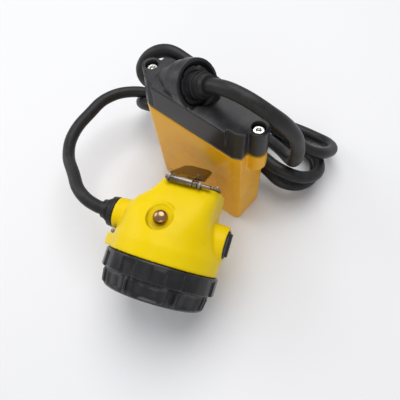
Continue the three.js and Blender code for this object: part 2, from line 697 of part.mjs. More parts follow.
function heatSink() {
  const front = REFLECTOR_FOOT - BOARD_THICK - 2 * GAP;
  const fins = 3;
  const finLength = 6;
  const parts = [bar('z', front - SINK_THICK, front, SINK_RADIUS, [0, 0], 32)];
  for (let i = 0; i < fins; i += 1) {
    const y = (i - 1) * 6;
    const root = front - SINK_THICK;
    parts.push(block(-7, 7, y - 0.8, y + 0.8, root - finLength, root + OVER));
  }
  return joined(parts);
}

function mainLed() {
  const base = REFLECTOR_FOOT + 2 * GAP;
  const half = 1.8;
  const dome = new THREE.SphereGeometry(1.5, 16, 10);
  return joined([
    block(-half, half, -half, half, base, base + 1.2),
    solid(moved(dome, 0, 0, base + 1.2)),
  ]);
}

function lensUnit() {
  place('lens_gasket', ring('z', GASKET_BACK, GASKET_BACK + LENS_GASKET_THICK,
    LENS_RADIUS, BORE_RADIUS - 1, [0, 0], BIG), 'gasket', HEAD);
  const disc = bar('z', LENS_BACK, LENS_BACK + LENS_THICK, LENS_RADIUS, [0, 0], BIG);
  place('lens', disc, 'lens', HEAD);
  place('bezel_ring', bezelRing(), 'black', HEAD);
}

function lightEngine() {
  place('reflector', reflector(), 'mirror', HEAD);
  place('main_led', mainLed(), 'led', HEAD);
  const boardBack = REFLECTOR_FOOT - BOARD_THICK;
  place('led_board', bar('z', boardBack, REFLECTOR_FOOT, LED_BOARD_RADIUS, [0, 0], 28),
    'board', HEAD);
  place('heat_sink', heatSink(), 'aluminium', HEAD);
  const driver = -BODY_BACK + HEAD_WALL + 3;
  const mid = (BACK_LEFT + BACK_RIGHT) / 2;
  place('driver_board', joined([
    block(mid - DRIVER_BOARD_HALF, mid + DRIVER_BOARD_HALF, -6, 6, driver, driver + BOARD_THICK),
    block(mid - 3, mid + 3, -3, 3, driver + BOARD_THICK / 2, driver + 3),
  ]), 'board', HEAD);
}

function switchKnob() {
  const seat = SWITCH_BOSS_REACH - KNOB_RECESS + GAP;
  const face = seat + KNOB_THICK;
  const centre = [0, PORT_Z];
  const grip = KNOB_RADIUS - 1;
  return joined([
    bar('x', seat, face, KNOB_RADIUS, centre, 32),
    bar('x', face - SHAFT_LENGTH - KNOB_THICK, face - OVER, SHAFT_RADIUS, centre),
    block(face - OVER, face + KNOB_BAR_HEIGHT, -KNOB_BAR_WIDTH / 2, KNOB_BAR_WIDTH / 2,
      PORT_Z - grip, PORT_Z + grip),
  ]);
}

function rotarySwitch() {
  const seat = SWITCH_BOSS_REACH - KNOB_RECESS + GAP;
  const shaftEnd = seat - SHAFT_LENGTH;
  place('switch_knob', switchKnob(), 'black', HEAD);
  place('switch_seal', ring('x', seat - 2.4, seat - 2 * GAP, SEAL_RADIUS, SEAL_BORE, [0, PORT_Z]),
    'rubber', HEAD);
  place('switch_body', block(shaftEnd - GAP - 7, shaftEnd - GAP, -5, 5, PORT_Z - 5, PORT_Z + 5),
    'plastic', HEAD);
}

function chargingContact() {
  const base = CONTACT_SEAT + GAP;
  const centre = [CONTACT_X, CONTACT_Z];
  const cap = [];
  const steps = 5;
  for (let i = 0; i <= steps; i += 1) {
    const angle = (i / steps) * (Math.PI / 2);
    cap.push([CONTACT_RADIUS * Math.cos(angle), 0.6 + (CONTACT_HEIGHT - 0.6) * Math.sin(angle)]);
  }
  cap[steps][0] = 0;
  const dome = turned([[0, 0], [CONTACT_RADIUS, 0], ...cap], 24)
    .rotate([-90, 0, 0])
    .translate([CONTACT_X, base, CONTACT_Z]);
  const stem = bar('y', base - CONTACT_STEM_LENGTH, base + OVER, CONTACT_STEM, centre);
  place('charging_contact', dome.add(stem), 'brass', HEAD);
  const nutTop = CONTACT_SEAT - 6;
  place('contact_nut', bar('y', nutTop - 1.8, nutTop, 2.9, centre, 6)
    .subtract(bar('y', nutTop - 3, nutTop + 1, CONTACT_STEM + GAP, centre)), 'copperBrass', HEAD);
}

function headBoot() {
  const port = [0, PORT_Z];
  const face = -CABLE_BOSS_REACH - GAP;
  const flange = face - HEAD_BOOT_FLANGE;
  const tip = -CABLE_BOSS_REACH - HEAD_BOOT_REACH;
  return joined([
    bar('x', face - OVER, face + 8, BOOT_TIP_RADIUS + 1 - GAP, port, 28),
    bar('x', flange, face, CABLE_BOSS_RADIUS - 0.6, port, 32, CABLE_BOSS_RADIUS - 0.2),
    bar('x', tip, flange + OVER, BOOT_TIP_RADIUS, port, 28, BOOT_TIP_RADIUS + 0.8),
    bar('x', flange - 2.4, flange - 1.2, BOOT_TIP_RADIUS + 1, port, 28),
  ]);
}

function lockScrew() {
  const seat = -LUG_THICK - GAP;
  const head = LOCK_HEAD_HEIGHT;
  const driver = block(LOCK_X - 2.6, LOCK_X + 2.6, LOCK_Y - 0.4, LOCK_Y + 0.4,
    seat - head - OVER, seat - head + 0.7);
  return joined([
    bar('z', seat - head, seat, LOCK_HEAD_RADIUS, [LOCK_X, LOCK_Y]),
    bar('z', seat - OVER, -GAP, SCREW_RADIUS, [LOCK_X, LOCK_Y]),
  ]).subtract(driver);
}

// ---------------------------------------------------------------------- helmet hook
const TILT = THREE.MathUtils.degToRad(HOOK_TILT);
// hook pieces that swing are drawn hanging down from the pin, then leaned back
const HOOK = new THREE.Matrix4()
  .multiply(HEAD)
  .multiply(new THREE.Matrix4().makeTranslation(HOOK_X, HOOK_PIN_Y, HOOK_PIN_Z))
  .multiply(new THREE.Matrix4().makeRotationX(TILT));

function hookTongue() {
  const half = HOOK_TOP_WIDTH / 2;
  const tip = HOOK_TIP_WIDTH / 2;
  const nose = 3;
  const shape = new THREE.Shape();
  shape.moveTo(-half, 1);
  shape.lineTo(half, 1);
  shape.lineTo(tip, -HOOK_LENGTH + nose);
  shape.lineTo(tip - nose, -HOOK_LENGTH);
  shape.lineTo(-tip + nose, -HOOK_LENGTH);
  shape.lineTo(-tip, -HOOK_LENGTH + nose);
  shape.closePath();
  const sheet = new THREE.ExtrudeGeometry(shape, { depth: HOOK_SHEET, bevelEnabled: false });
  const back = -KNUCKLE_RADIUS;
  const plate = solid(moved(sheet, 0, 0, back));
  const left = -half + EAR_INSET + HOOK_SHEET + GAP;
  const right = half - EAR_INSET - HOOK_SHEET - 2 * GAP - SPRING_LENGTH;
  const knuckle = bar('x', left, right, KNUCKLE_RADIUS, [0, 0], 20);
  const bore = bar('x', -half - OVER, half + OVER, HOOK_PIN_RADIUS + GAP, [0, 0]);
  const rivet = bar('z', back - 0.7, back + OVER, 1.2, [4.5, -9]);
  const behind = back + HOOK_SHEET;
  // the sheet is notched round the bracket's ears and the spring
  const notches = [
    block(-half - OVER, left, -4, 2, behind - 2 * HOOK_SHEET, behind + OVER),
    block(right, half + OVER, -4, 2, behind - 2 * HOOK_SHEET, behind + OVER),
  ];
  return cut(plate.add(rivet), notches).add(knuckle).subtract(bore);
}

function hookBracket() {
  const half = HOOK_TOP_WIDTH / 2;
  const back = -BODY_BACK - GAP;
  const outside = back - BRACKET_SHEET;
  const left = HOOK_X - half + EAR_INSET;
  const right = HOOK_X + half - EAR_INSET;
  const parts = [block(left, right, -9, BACK_HALF - GAP, outside, back)];
  for (const x of [left, right - HOOK_SHEET]) {
    parts.push(block(x, x + HOOK_SHEET, BACK_HALF - 4, HOOK_PIN_Y + 1.9, outside, back));
    parts.push(block(x, x + HOOK_SHEET, BACK_HALF + 1.7, HOOK_PIN_Y + 1.9, outside,
      HOOK_PIN_Z + 1.9));
  }
  const tools = [bar('x', HOOK_X - half - OVER, HOOK_X + half + OVER, HOOK_PIN_RADIUS + GAP,
    [HOOK_PIN_Y, HOOK_PIN_Z])];
  for (const y of HOOK_SCREWS) {
    tools.push(bar('z', outside - OVER, back + OVER, HOOK_HEAD_RADIUS + OVER + GAP, [HOOK_X, y],
      SMALL, HOOK_SCREW_RADIUS + GAP));
  }
  return cut(joined(parts), tools);
}

// countersunk, flush with the bracket
function hookScrew(y) {
  const outside = -BODY_BACK - GAP - BRACKET_SHEET;
  return joined([
    bar('z', outside, outside + BRACKET_SHEET, HOOK_HEAD_RADIUS, [HOOK_X, y], SMALL,
      HOOK_SCREW_RADIUS),
    bar('z', outside + GAP, -BODY_BACK + HOOK_SCREW_REACH, HOOK_SCREW_RADIUS, [HOOK_X, y]),
  ]);
}

function hookSpring() {
  const end = HOOK_X + HOOK_TOP_WIDTH / 2 - EAR_INSET - HOOK_SHEET - GAP;
  return ring('x', end - SPRING_LENGTH, end, KNUCKLE_RADIUS - 0.2, HOOK_PIN_RADIUS + GAP,
    [HOOK_PIN_Y, HOOK_PIN_Z]);
}

// bent strip beside the hook with an upstanding tab
function hookCatch() {
  const back = -BODY_BACK - GAP;
  const outside = back - HOOK_SHEET;
  const start = HOOK_X + HOOK_TOP_WIDTH / 2 - EAR_INSET + GAP;
  const end = BACK_RIGHT - 1;
  return joined([
    block(start, end, 5, 9.5, outside, back),
    block(end - HOOK_SHEET, end, 5, HOOK_PIN_Y + 1.6, outside, back),
    bar('z', outside - 0.7, outside + HOOK_SHEET / 2, 1.3, [start + 4, 7.2]),
  ]);
}

function helmetHook() {
  const half = HOOK_TOP_WIDTH / 2;
  place('hook_bracket', hookBracket(), 'steel', HEAD);
  place('hook_tongue', hookTongue(), 'steel', HOOK);
  place('hook_pin', bar('x', HOOK_X - half - 0.4, HOOK_X + half + 4, HOOK_PIN_RADIUS,
    [HOOK_PIN_Y, HOOK_PIN_Z]), 'steel', HEAD);
  place('hook_spring', hookSpring(), 'steel', HEAD);
  place('hook_catch', hookCatch(), 'steel', HEAD);
  HOOK_SCREWS.forEach((y, i) => place(`hook_screw_${i + 1}`, hookScrew(y), 'steel', HEAD));
}

function lampHead() {
  place('head_housing', headHousing(), 'headYellow', HEAD);
  place('head_boot', headBoot(), 'rubber', HEAD);
  place('lock_screw', lockScrew(), 'steel', HEAD);
  lensUnit();
  lightEngine();
  rotarySwitch();
  chargingContact();
  helmetHook();
}

// ---------------------------------------------------------------------- cable
// round cable along hand-set way points, with flat ends square to its run
function strand(points, steps) {
  const curve = new THREE.CatmullRomCurve3(points, false, 'centripetal');
  const round = new THREE.Shape();
  for (let i = 0; i < CABLE_SIDES; i += 1) {
    const angle = (i / CABLE_SIDES) * 2 * Math.PI;
    const [x, y] = [CABLE_RADIUS * Math.cos(angle), CABLE_RADIUS * Math.sin(angle)];
    if (i === 0) round.moveTo(x, y);
    else round.lineTo(x, y);
  }
  round.closePath();
  return solid(new THREE.ExtrudeGeometry(round, { steps, extrudePath: curve }));
}

function hank() {
  const end = HANK_WIDTH / 2;
  const straight = HANK_LENGTH / 2 - end;
  const shape = new THREE.Shape();
  shape.absarc(HANK_CENTRE_X + straight, HANK_CENTRE_Y, end, -Math.PI / 2, Math.PI / 2);
  shape.absarc(HANK_CENTRE_X - straight, HANK_CENTRE_Y, end, Math.PI / 2, 3 * Math.PI / 2);
  shape.closePath();
  const depth = HANK_HEIGHT - HANK_FOOT;
  const options = { depth, bevelEnabled: false, curveSegments: 16 };
  const geometry = new THREE.ExtrudeGeometry(shape, options);
  return solid(moved(geometry, 0, 0, HANK_FOOT));
}

const point = (x, y, z) => new THREE.Vector3(x, y, z);
const HANK_TOP = HANK_HEIGHT + GAP;

// from the gland over the lid's end and down into the hank
function batteryStrand() {
  const along = point(Math.cos(HOOD_LEAN), 0, Math.sin(HOOD_LEAN));
  const mouth = point(HOOD_MOUTH_X, 0, HOOD_MOUTH_Z);
  const exit = mouth.clone().addScaledVector(along, BATTERY_BOOT_LENGTH + GAP);
  return strand([
    exit,
    exit.clone().addScaledVector(along, LEAD),
    point(26, 1, 93),
    point(40, 5, 85),
    point(46, 13, 71),
    point(47, 18, 55),
    point(46, 22, 42),
    point(45, 23, 36),
    point(45, 23, HANK_TOP),
  ], 15);
}

// loop that stands up behind the left end of the lid
function backStrand() {
  return strand([
    point(-50, 34, HANK_TOP),
    point(-50, 34, 35),
    point(-53, 21, 44),
    point(-53, 8, 54),
    point(-49, 8, 69),
    point(-37, 15, 77),
    point(-21, 18, 71),
    point(-8, 23, 62),
    point(5, 29, 53),
    point(20, 32, 46),
    point(34, 34, 42),
    point(41, 36, 36),
    point(41, 36, HANK_TOP),
  ], 22);
}

// from the hank round the left side of the battery to the head
function headStrand() {
  const bootTip = point(-CABLE_BOSS_REACH - HEAD_BOOT_REACH - GAP, 0, PORT_Z).applyMatrix4(HEAD);
  return strand([
    point(-58, 24, HANK_TOP),
    point(-58, 24, 35),
    point(-61, 20, 41),
    point(-68, 10, 42),
    point(-75, -5, 40),
    point(-78, -21, 36.5),
    point(-75, -38, 36),
    point(-65, -52, 36.5),
    point(-51, -60, 38),
    point(-35, -65.5, 37.6),
    bootTip.clone().addScaledVector(SWITCH_AXIS, -LEAD),
    bootTip,
  ], 20);
}

function cable() {
  place('cable_battery_strand', batteryStrand(), 'rubber');
  place('cable_back_strand', backStrand(), 'rubber');
  place('cable_hank', hank(), 'rubber');
  place('cable_head_strand', headStrand(), 'rubber');
}

battery();
place('gland_nut', glandNut(), 'black');
place('battery_boot', batteryBoot(), 'rubber');
cable();
lampHead();

export default lamp;
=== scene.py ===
# Miner's corded cap lamp, standing on a pale table: belt battery with its black lid and
# cable gland, the wound rubber cable, and the lamp head lying in front with its lens down.
# Metres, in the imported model's own frame.
import bmesh
import bpy
import json
from math import cos, pi, radians, sin
from mathutils import Matrix, Vector


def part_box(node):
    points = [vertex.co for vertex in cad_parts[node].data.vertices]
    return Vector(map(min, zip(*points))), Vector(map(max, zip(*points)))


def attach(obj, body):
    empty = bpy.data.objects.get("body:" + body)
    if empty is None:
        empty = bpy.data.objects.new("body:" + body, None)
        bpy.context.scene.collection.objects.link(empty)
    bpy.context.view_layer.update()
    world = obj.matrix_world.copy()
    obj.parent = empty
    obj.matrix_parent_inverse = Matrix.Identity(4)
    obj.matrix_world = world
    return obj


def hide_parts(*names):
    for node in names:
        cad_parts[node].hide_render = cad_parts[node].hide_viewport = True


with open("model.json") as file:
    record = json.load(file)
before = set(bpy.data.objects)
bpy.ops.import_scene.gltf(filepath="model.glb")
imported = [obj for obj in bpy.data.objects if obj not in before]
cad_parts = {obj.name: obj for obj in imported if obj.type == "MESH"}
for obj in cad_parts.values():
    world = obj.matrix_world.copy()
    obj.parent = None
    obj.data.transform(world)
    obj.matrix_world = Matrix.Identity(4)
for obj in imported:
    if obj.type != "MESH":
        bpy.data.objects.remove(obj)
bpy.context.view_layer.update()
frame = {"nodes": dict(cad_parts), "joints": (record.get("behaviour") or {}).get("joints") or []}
nodes = frame["nodes"]
joints = {joint["name"]: joint for joint in frame["joints"]}
MM = 0.001


# ------------------------------------------------------------------------- camera
# A 36 mm lens close above the lamp, looking down its long side and rolled a little.
lens = bpy.data.cameras.new("camera")
lens.lens = 36.0
lens.sensor_width = 36.0
lens.clip_start = 0.005
camera = bpy.data.objects.new("camera", lens)
bpy.context.scene.collection.objects.link(camera)
sight = Vector((-0.3671, 0.3305, -0.8695))
roll = Matrix.Rotation(radians(-8.31), 4, "Z")
turn = sight.to_track_quat("-Z", "Y").to_matrix().to_4x4()
camera.matrix_world = Matrix.Translation((0.0993, -0.1007, 0.2247)) @ turn @ roll
bpy.context.scene.camera = camera


# -------------------------------------------------------------------------- cable
# One length of two-core cable in a round rubber sheath, 7.3 mm thick. It leaves the
# gland on the lid, is wound in loose turns behind the battery and ends in the head.
CABLE_RADIUS = 0.00365
ROUTE = [
    (0.0056, 0, 0.0885), (0.0087, 0, 0.0902), (0.0215, 0, 0.0935), (0.037, 0.0035, 0.088),
    (0.045, 0.011, 0.075), (0.0475, 0.017, 0.0595), (0.0465, 0.0205, 0.043), (0.0405, 0.0275, 0.0285),
    (0.0285, 0.0355, 0.02), (0.013, 0.0405, 0.016), (-0.004, 0.0425, 0.0155), (-0.0205, 0.0445, 0.0185),
    (-0.0365, 0.0435, 0.0245), (-0.049, 0.0355, 0.032), (-0.054, 0.021, 0.039), (-0.0535, 0.0085, 0.0505),
    (-0.0505, 0.0065, 0.067), (-0.0395, 0.014, 0.0765), (-0.024, 0.018, 0.073), (-0.0095, 0.0215, 0.064),
    (0.0045, 0.0265, 0.0565), (0.019, 0.0305, 0.0485), (0.0335, 0.0335, 0.0395), (0.0455, 0.0395, 0.029),
    (0.052, 0.0515, 0.0195), (0.0485, 0.0645, 0.01), (0.033, 0.0685, 0.0045), (0.0165, 0.066, 0.0045),
    (-0.0005, 0.0625, 0.005), (-0.017, 0.059, 0.005), (-0.0335, 0.0545, 0.005), (-0.049, 0.048, 0.0055),
    (-0.0635, 0.039, 0.0065), (-0.073, 0.0255, 0.0105), (-0.071, 0.012, 0.019), (-0.057, 0.008, 0.027),
    (-0.0415, 0.0135, 0.031), (-0.026, 0.0205, 0.0325), (-0.0095, 0.024, 0.032), (0.0075, 0.023, 0.0305),
    (0.024, 0.02, 0.0285), (0.041, 0.02, 0.026), (0.0535, 0.0295, 0.02), (0.052, 0.0445, 0.014),
    (0.0385, 0.053, 0.011), (0.0215, 0.0535, 0.0115), (0.0045, 0.0515, 0.012), (-0.0125, 0.0515, 0.0125),
    (-0.0295, 0.052, 0.013), (-0.045, 0.046, 0.012), (-0.05, 0.031, 0.008), (-0.04, 0.0185, 0.0045),
    (-0.0235, 0.0165, 0.004), (-0.007, 0.0205, 0.0065), (0.009, 0.0235, 0.011), (0.0255, 0.0225, 0.0135),
    (0.042, 0.023, 0.0095), (0.0515, 0.036, 0.0055), (0.0465, 0.0515, 0.004), (0.0305, 0.056, 0.004),
    (0.0145, 0.05, 0.004), (-0, 0.0415, 0.0055), (-0.0155, 0.035, 0.0085), (-0.031, 0.03, 0.013),
    (-0.046, 0.025, 0.0195), (-0.0605, 0.0185, 0.0255), (-0.074, 0.0085, 0.029), (-0.0815, -0.0065, 0.031),
    (-0.08, -0.0235, 0.032), (-0.076, -0.04, 0.032), (-0.0655, -0.053, 0.033), (-0.0505, -0.061, 0.035),
    (-0.035, -0.0675, 0.037), (-0.0209, -0.0671, 0.0369), (-0.018, -0.066, 0.0369),
]
line = bpy.data.curves.new("cable", "CURVE")
line.dimensions = "3D"
line.bevel_resolution = 6
line.resolution_u = 8
line.use_fill_caps = True
spline = line.splines.new("BEZIER")
spline.bezier_points.add(len(ROUTE) - 1)
for knot, place in zip(spline.bezier_points, ROUTE):
    knot.co = place
    knot.handle_left_type = "AUTO"
    knot.handle_right_type = "AUTO"
run = bpy.data.objects.new("cable_run", line)
bpy.context.scene.collection.objects.link(run)


def mesh_of(curve):
    """the faces and edges that a curve object shows"""
    graph = bpy.context.evaluated_depsgraph_get()
    graph.update()
    return bpy.data.meshes.new_from_object(curve.evaluated_get(graph))


centreline = [point.co.copy() for point in mesh_of(run).vertices]
line.bevel_depth = CABLE_RADIUS
sheath = mesh_of(run)
sheath.shade_smooth()
bpy.data.objects.remove(run)
cable = bpy.data.objects.new("cable", sheath)
bpy.context.scene.collection.objects.link(cable)
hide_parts("cable_battery_strand", "cable_back_strand", "cable_hank", "cable_head_strand")
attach(cable, "lamp")


# ---------------------------------------------------------------- shared finishes
# Every material below is built from these shader groups: fine moulding grain, rubbed edges and
# painted shade in hollows, and dust that settles on upward faces. Each gives only masks and normals.
def new_group(name, inputs, outputs):
    group = bpy.data.node_groups.new(name, "ShaderNodeTree")
    for label, kind, value in inputs:
        socket = group.interface.new_socket(label, in_out="INPUT", socket_type=kind)
        if value is not None:
            socket.default_value = value
    for label, kind in outputs:
        group.interface.new_socket(label, in_out="OUTPUT", socket_type=kind)
    return group, group.nodes.new("NodeGroupInput"), group.nodes.new("NodeGroupOutput")


def link(group, start, end):
    group.links.new(start, end)


def grain_group():
    group, inside, out = new_group("moulding_grain", [
        ("Scale", "NodeSocketFloat", 900.0),
        ("Depth", "NodeSocketFloat", 0.02),
    ], [("Mottle", "NodeSocketFloat"), ("Fine", "NodeSocketFloat"), ("Normal", "NodeSocketVector")])
    place = group.nodes.new("ShaderNodeTexCoord")
    fine = group.nodes.new("ShaderNodeTexNoise")
    fine.inputs["Detail"].default_value = 4.0
    fine.inputs["Roughness"].default_value = 0.65
    broad = group.nodes.new("ShaderNodeTexNoise")
    broad.inputs["Scale"].default_value = 60.0
    broad.inputs["Detail"].default_value = 5.0
    bump = group.nodes.new("ShaderNodeBump")
    bump.inputs["Distance"].default_value = 0.0002
    link(group, place.outputs["Object"], fine.inputs["Vector"])
    link(group, place.outputs["Object"], broad.inputs["Vector"])
    link(group, inside.outputs["Scale"], fine.inputs["Scale"])
    link(group, inside.outputs["Depth"], bump.inputs["Strength"])
    link(group, fine.outputs["Fac"], bump.inputs["Height"])
    link(group, broad.outputs["Fac"], out.inputs["Mottle"])
    link(group, fine.outputs["Fac"], out.inputs["Fine"])
    link(group, bump.outputs["Normal"], out.inputs["Normal"])
    return group


# Rubbed edges (high pointiness) are wear. The hollow mask (low pointiness) is painted shade in recesses.
def wear_and_shade_group():
    group, inside, out = new_group("edge_wear_and_hollow_shade", [
        ("Start", "NodeSocketFloat", 0.53),
        ("End", "NodeSocketFloat", 0.62),
    ], [("Worn", "NodeSocketFloat"), ("HollowShade", "NodeSocketFloat")])
    shape = group.nodes.new("ShaderNodeNewGeometry")
    place = group.nodes.new("ShaderNodeTexCoord")
    breaks = group.nodes.new("ShaderNodeTexNoise")
    breaks.inputs["Scale"].default_value = 260.0
    breaks.inputs["Detail"].default_value = 6.0
    raised = group.nodes.new("ShaderNodeMapRange")
    broken = group.nodes.new("ShaderNodeMapRange")
    broken.inputs["From Min"].default_value = 0.42
    broken.inputs["From Max"].default_value = 0.62
    both = group.nodes.new("ShaderNodeMath")
    both.operation = "MULTIPLY"
    hollow = group.nodes.new("ShaderNodeMapRange")
    hollow.inputs["From Min"].default_value = 0.49
    hollow.inputs["From Max"].default_value = 0.42
    link(group, place.outputs["Object"], breaks.inputs["Vector"])
    link(group, shape.outputs["Pointiness"], raised.inputs["Value"])
    link(group, inside.outputs["Start"], raised.inputs["From Min"])
    link(group, inside.outputs["End"], raised.inputs["From Max"])
    link(group, breaks.outputs["Fac"], broken.inputs["Value"])
    link(group, raised.outputs["Result"], both.inputs[0])
    link(group, broken.outputs["Result"], both.inputs[1])
    link(group, shape.outputs["Pointiness"], hollow.inputs["Value"])
    link(group, both.outputs["Value"], out.inputs["Worn"])
    link(group, hollow.outputs["Result"], out.inputs["HollowShade"])
    return group


def dust_group():
    group, inside, out = new_group("settled_dust", [
        ("Scale", "NodeSocketFloat", 180.0),
    ], [("Dust", "NodeSocketFloat")])
    shape = group.nodes.new("ShaderNodeNewGeometry")
    split = group.nodes.new("ShaderNodeSeparateXYZ")
    upward = group.nodes.new("ShaderNodeMapRange")
    upward.inputs["From Min"].default_value = 0.35
    upward.inputs["From Max"].default_value = 1.0
    place = group.nodes.new("ShaderNodeTexCoord")
    specks = group.nodes.new("ShaderNodeTexNoise")
    specks.inputs["Detail"].default_value = 8.0
    specks.inputs["Roughness"].default_value = 0.7
    thin = group.nodes.new("ShaderNodeMapRange")
    thin.inputs["From Min"].default_value = 0.46
    thin.inputs["From Max"].default_value = 0.72
    both = group.nodes.new("ShaderNodeMath")
    both.operation = "MULTIPLY"
    link(group, shape.outputs["Normal"], split.inputs["Vector"])
    link(group, split.outputs["Z"], upward.inputs["Value"])
    link(group, place.outputs["Object"], specks.inputs["Vector"])
    link(group, inside.outputs["Scale"], specks.inputs["Scale"])
    link(group, specks.outputs["Fac"], thin.inputs["Value"])
    link(group, upward.outputs["Result"], both.inputs[0])
    link(group, thin.outputs["Result"], both.inputs[1])
    link(group, both.outputs["Value"], out.inputs["Dust"])
    return group


GRAIN = grain_group()
WEAR_AND_SHADE = wear_and_shade_group()
DUST = dust_group()


def use(material, group, **values):
    node = material.node_tree.nodes.new("ShaderNodeGroup")
    node.node_tree = group
    for label, value in values.items():
        node.inputs[label].default_value = value
    return node


def mixed(material, mask, first, second):
    """colour that goes from first to second as the mask does"""
    mix = material.node_tree.nodes.new("ShaderNodeMix")
    mix.data_type = "RGBA"
    for socket, value in ((mix.inputs["A"], first), (mix.inputs["B"], second)):
        if isinstance(value, tuple):
            socket.default_value = (*value, 1.0)
        else:
            material.node_tree.links.new(value, socket)
    material.node_tree.links.new(mask, mix.inputs["Factor"])
    return mix.outputs["Result"]


def spread(material, mask, low, high):
    """number that goes from low to high as the mask does"""
    span = material.node_tree.nodes.new("ShaderNodeMapRange")
    span.inputs["From Min"].default_value = 0.3
    span.inputs["From Max"].default_value = 0.7
    span.inputs["To Min"].default_value = low
    span.inputs["To Max"].default_value = high
    material.node_tree.links.new(mask, span.inputs["Value"])
    return span.outputs["Result"]


def finish(name, base, shade, worn, dusty, rough, grain_scale, grain_depth, metallic=0.0,
           wear=(0.53, 0.62), shine=0.5, dust_scale=180.0):
    """moulded, rubber or metal surface with mottle, rubbed edges, painted shade in hollows and dust"""
    material = bpy.data.materials.new(name)
    material.use_nodes = True
    tree = material.node_tree
    shader = tree.nodes["Principled BSDF"]
    shader.inputs["Metallic"].default_value = metallic
    shader.inputs["Specular IOR Level"].default_value = shine
    grain = use(material, GRAIN, Scale=grain_scale, Depth=grain_depth)
    edges = use(material, WEAR_AND_SHADE, Start=wear[0], End=wear[1])
    dust = use(material, DUST, Scale=dust_scale)
    colour = mixed(material, spread(material, grain.outputs["Mottle"], 0.0, 1.0), base, shade)
    # painted shade: a darker copy of the material's second tone, laid into the hollows
    painted_shade = tuple(0.45 * part for part in shade)
    shaded_hollows = mixed(material, spread(material, edges.outputs["HollowShade"], -0.1, 0.6), colour, painted_shade)
    rubbed = mixed(material, edges.outputs["Worn"], shaded_hollows, worn)
    faint = tree.nodes.new("ShaderNodeMath")
    faint.operation = "MULTIPLY"
    faint.inputs[1].default_value = 0.22
    tree.links.new(dust.outputs["Dust"], faint.inputs[0])
    tree.links.new(mixed(material, faint.outputs["Value"], rubbed, dusty),
                   shader.inputs["Base Color"])
    tree.links.new(spread(material, grain.outputs["Mottle"], *rough), shader.inputs["Roughness"])
    tree.links.new(grain.outputs["Normal"], shader.inputs["Normal"])
    return material


def dress(piece, material):
    """gives a CAD node or a new piece its one material"""
    piece.data.materials.clear()
    piece.data.materials.append(material)


RUBBER = finish("sheath_rubber", (0.014, 0.014, 0.015), (0.021, 0.021, 0.022),
                (0.06, 0.06, 0.06), (0.10, 0.10, 0.09), (0.36, 0.48), 1400.0, 0.10,
                shine=0.22)
LID_BLACK = finish("lid_plastic", (0.016, 0.016, 0.018), (0.024, 0.024, 0.026),
                   (0.10, 0.10, 0.10), (0.11, 0.11, 0.10), (0.28, 0.40), 1100.0, 0.12,
                   shine=0.3)
BEZEL_BLACK = finish("bezel_plastic", (0.012, 0.012, 0.013), (0.018, 0.018, 0.019),
                     (0.07, 0.07, 0.07), (0.07, 0.07, 0.065), (0.20, 0.32), 1000.0, 0.06,
                     shine=0.3)
KNOB_BLACK = finish("knob_plastic", (0.018, 0.018, 0.020), (0.026, 0.026, 0.028),
                    (0.09, 0.09, 0.09), (0.08, 0.08, 0.08), (0.34, 0.46), 1500.0, 0.10,
                    shine=0.3)
CASE_AMBER = finish("case_plastic", (0.78, 0.37, 0.004), (0.85, 0.44, 0.008),
                    (0.82, 0.50, 0.08), (0.70, 0.47, 0.14), (0.24, 0.36), 700.0, 0.04,
                    shine=0.25)
HEAD_YELLOW = finish("head_plastic", (0.78, 0.55, 0.001), (0.82, 0.60, 0.003),
                     (0.88, 0.70, 0.04), (0.80, 0.62, 0.06), (0.24, 0.36), 800.0, 0.04,
                     shine=0.1)
# painted reflection: the steel's colour is darkened and browned to stand in for the dark surroundings it
# reflects
STEEL_DARK_REFLECTION = finish("steel_painted_dark_reflection", (0.17, 0.14, 0.12), (0.24, 0.21, 0.18),
               (0.46, 0.43, 0.39), (0.2, 0.18, 0.15), (0.26, 0.42), 600.0, 0.05, metallic=1.0)
NICKEL = finish("nickel_plate", (0.78, 0.77, 0.73), (0.70, 0.69, 0.66),
                (0.90, 0.89, 0.86), (0.6, 0.58, 0.52), (0.16, 0.28), 500.0, 0.03, metallic=1.0)
BRASS = finish("contact_brass", (0.34, 0.20, 0.10), (0.42, 0.27, 0.14),
               (0.62, 0.44, 0.26), (0.36, 0.27, 0.17), (0.20, 0.34), 700.0, 0.05, metallic=1.0)
dress(cable, RUBBER)


# How a piece is softened: its mesh is merged, then remade at an even grain and relaxed,
# which leaves the small fillets that a moulded or pressed part has.
def merged_copy(node, name):
    mesh = nodes[node].data.copy()
    mesh.name = name
    piece = bpy.data.objects.new(name, mesh)
    bpy.context.scene.collection.objects.link(piece)
    work = bmesh.new()
    work.from_mesh(mesh)
    bmesh.ops.remove_doubles(work, verts=work.verts, dist=1e-6)
    work.to_mesh(mesh)
    work.free()
    return piece


def settle(piece):
    """turns a piece's live modifiers into its mesh"""
    graph = bpy.context.evaluated_depsgraph_get()
    mesh = bpy.data.meshes.new_from_object(piece.evaluated_get(graph))
    piece.modifiers.clear()
    piece.data = mesh


def smoothed(piece, grain, passes, share=1.0):
    """rounds every edge of a solid to about the size of its grain"""
    remesh = piece.modifiers.new("grain", "REMESH")
    remesh.mode = "VOXEL"
    remesh.voxel_size = grain
    relax = piece.modifiers.new("relax", "SMOOTH")
    relax.factor = 0.5
    relax.iterations = passes
    if share < 1.0:
        thin = piece.modifiers.new("thin", "DECIMATE")
        thin.ratio = share
    settle(piece)
    piece.data.shade_smooth()
    return piece


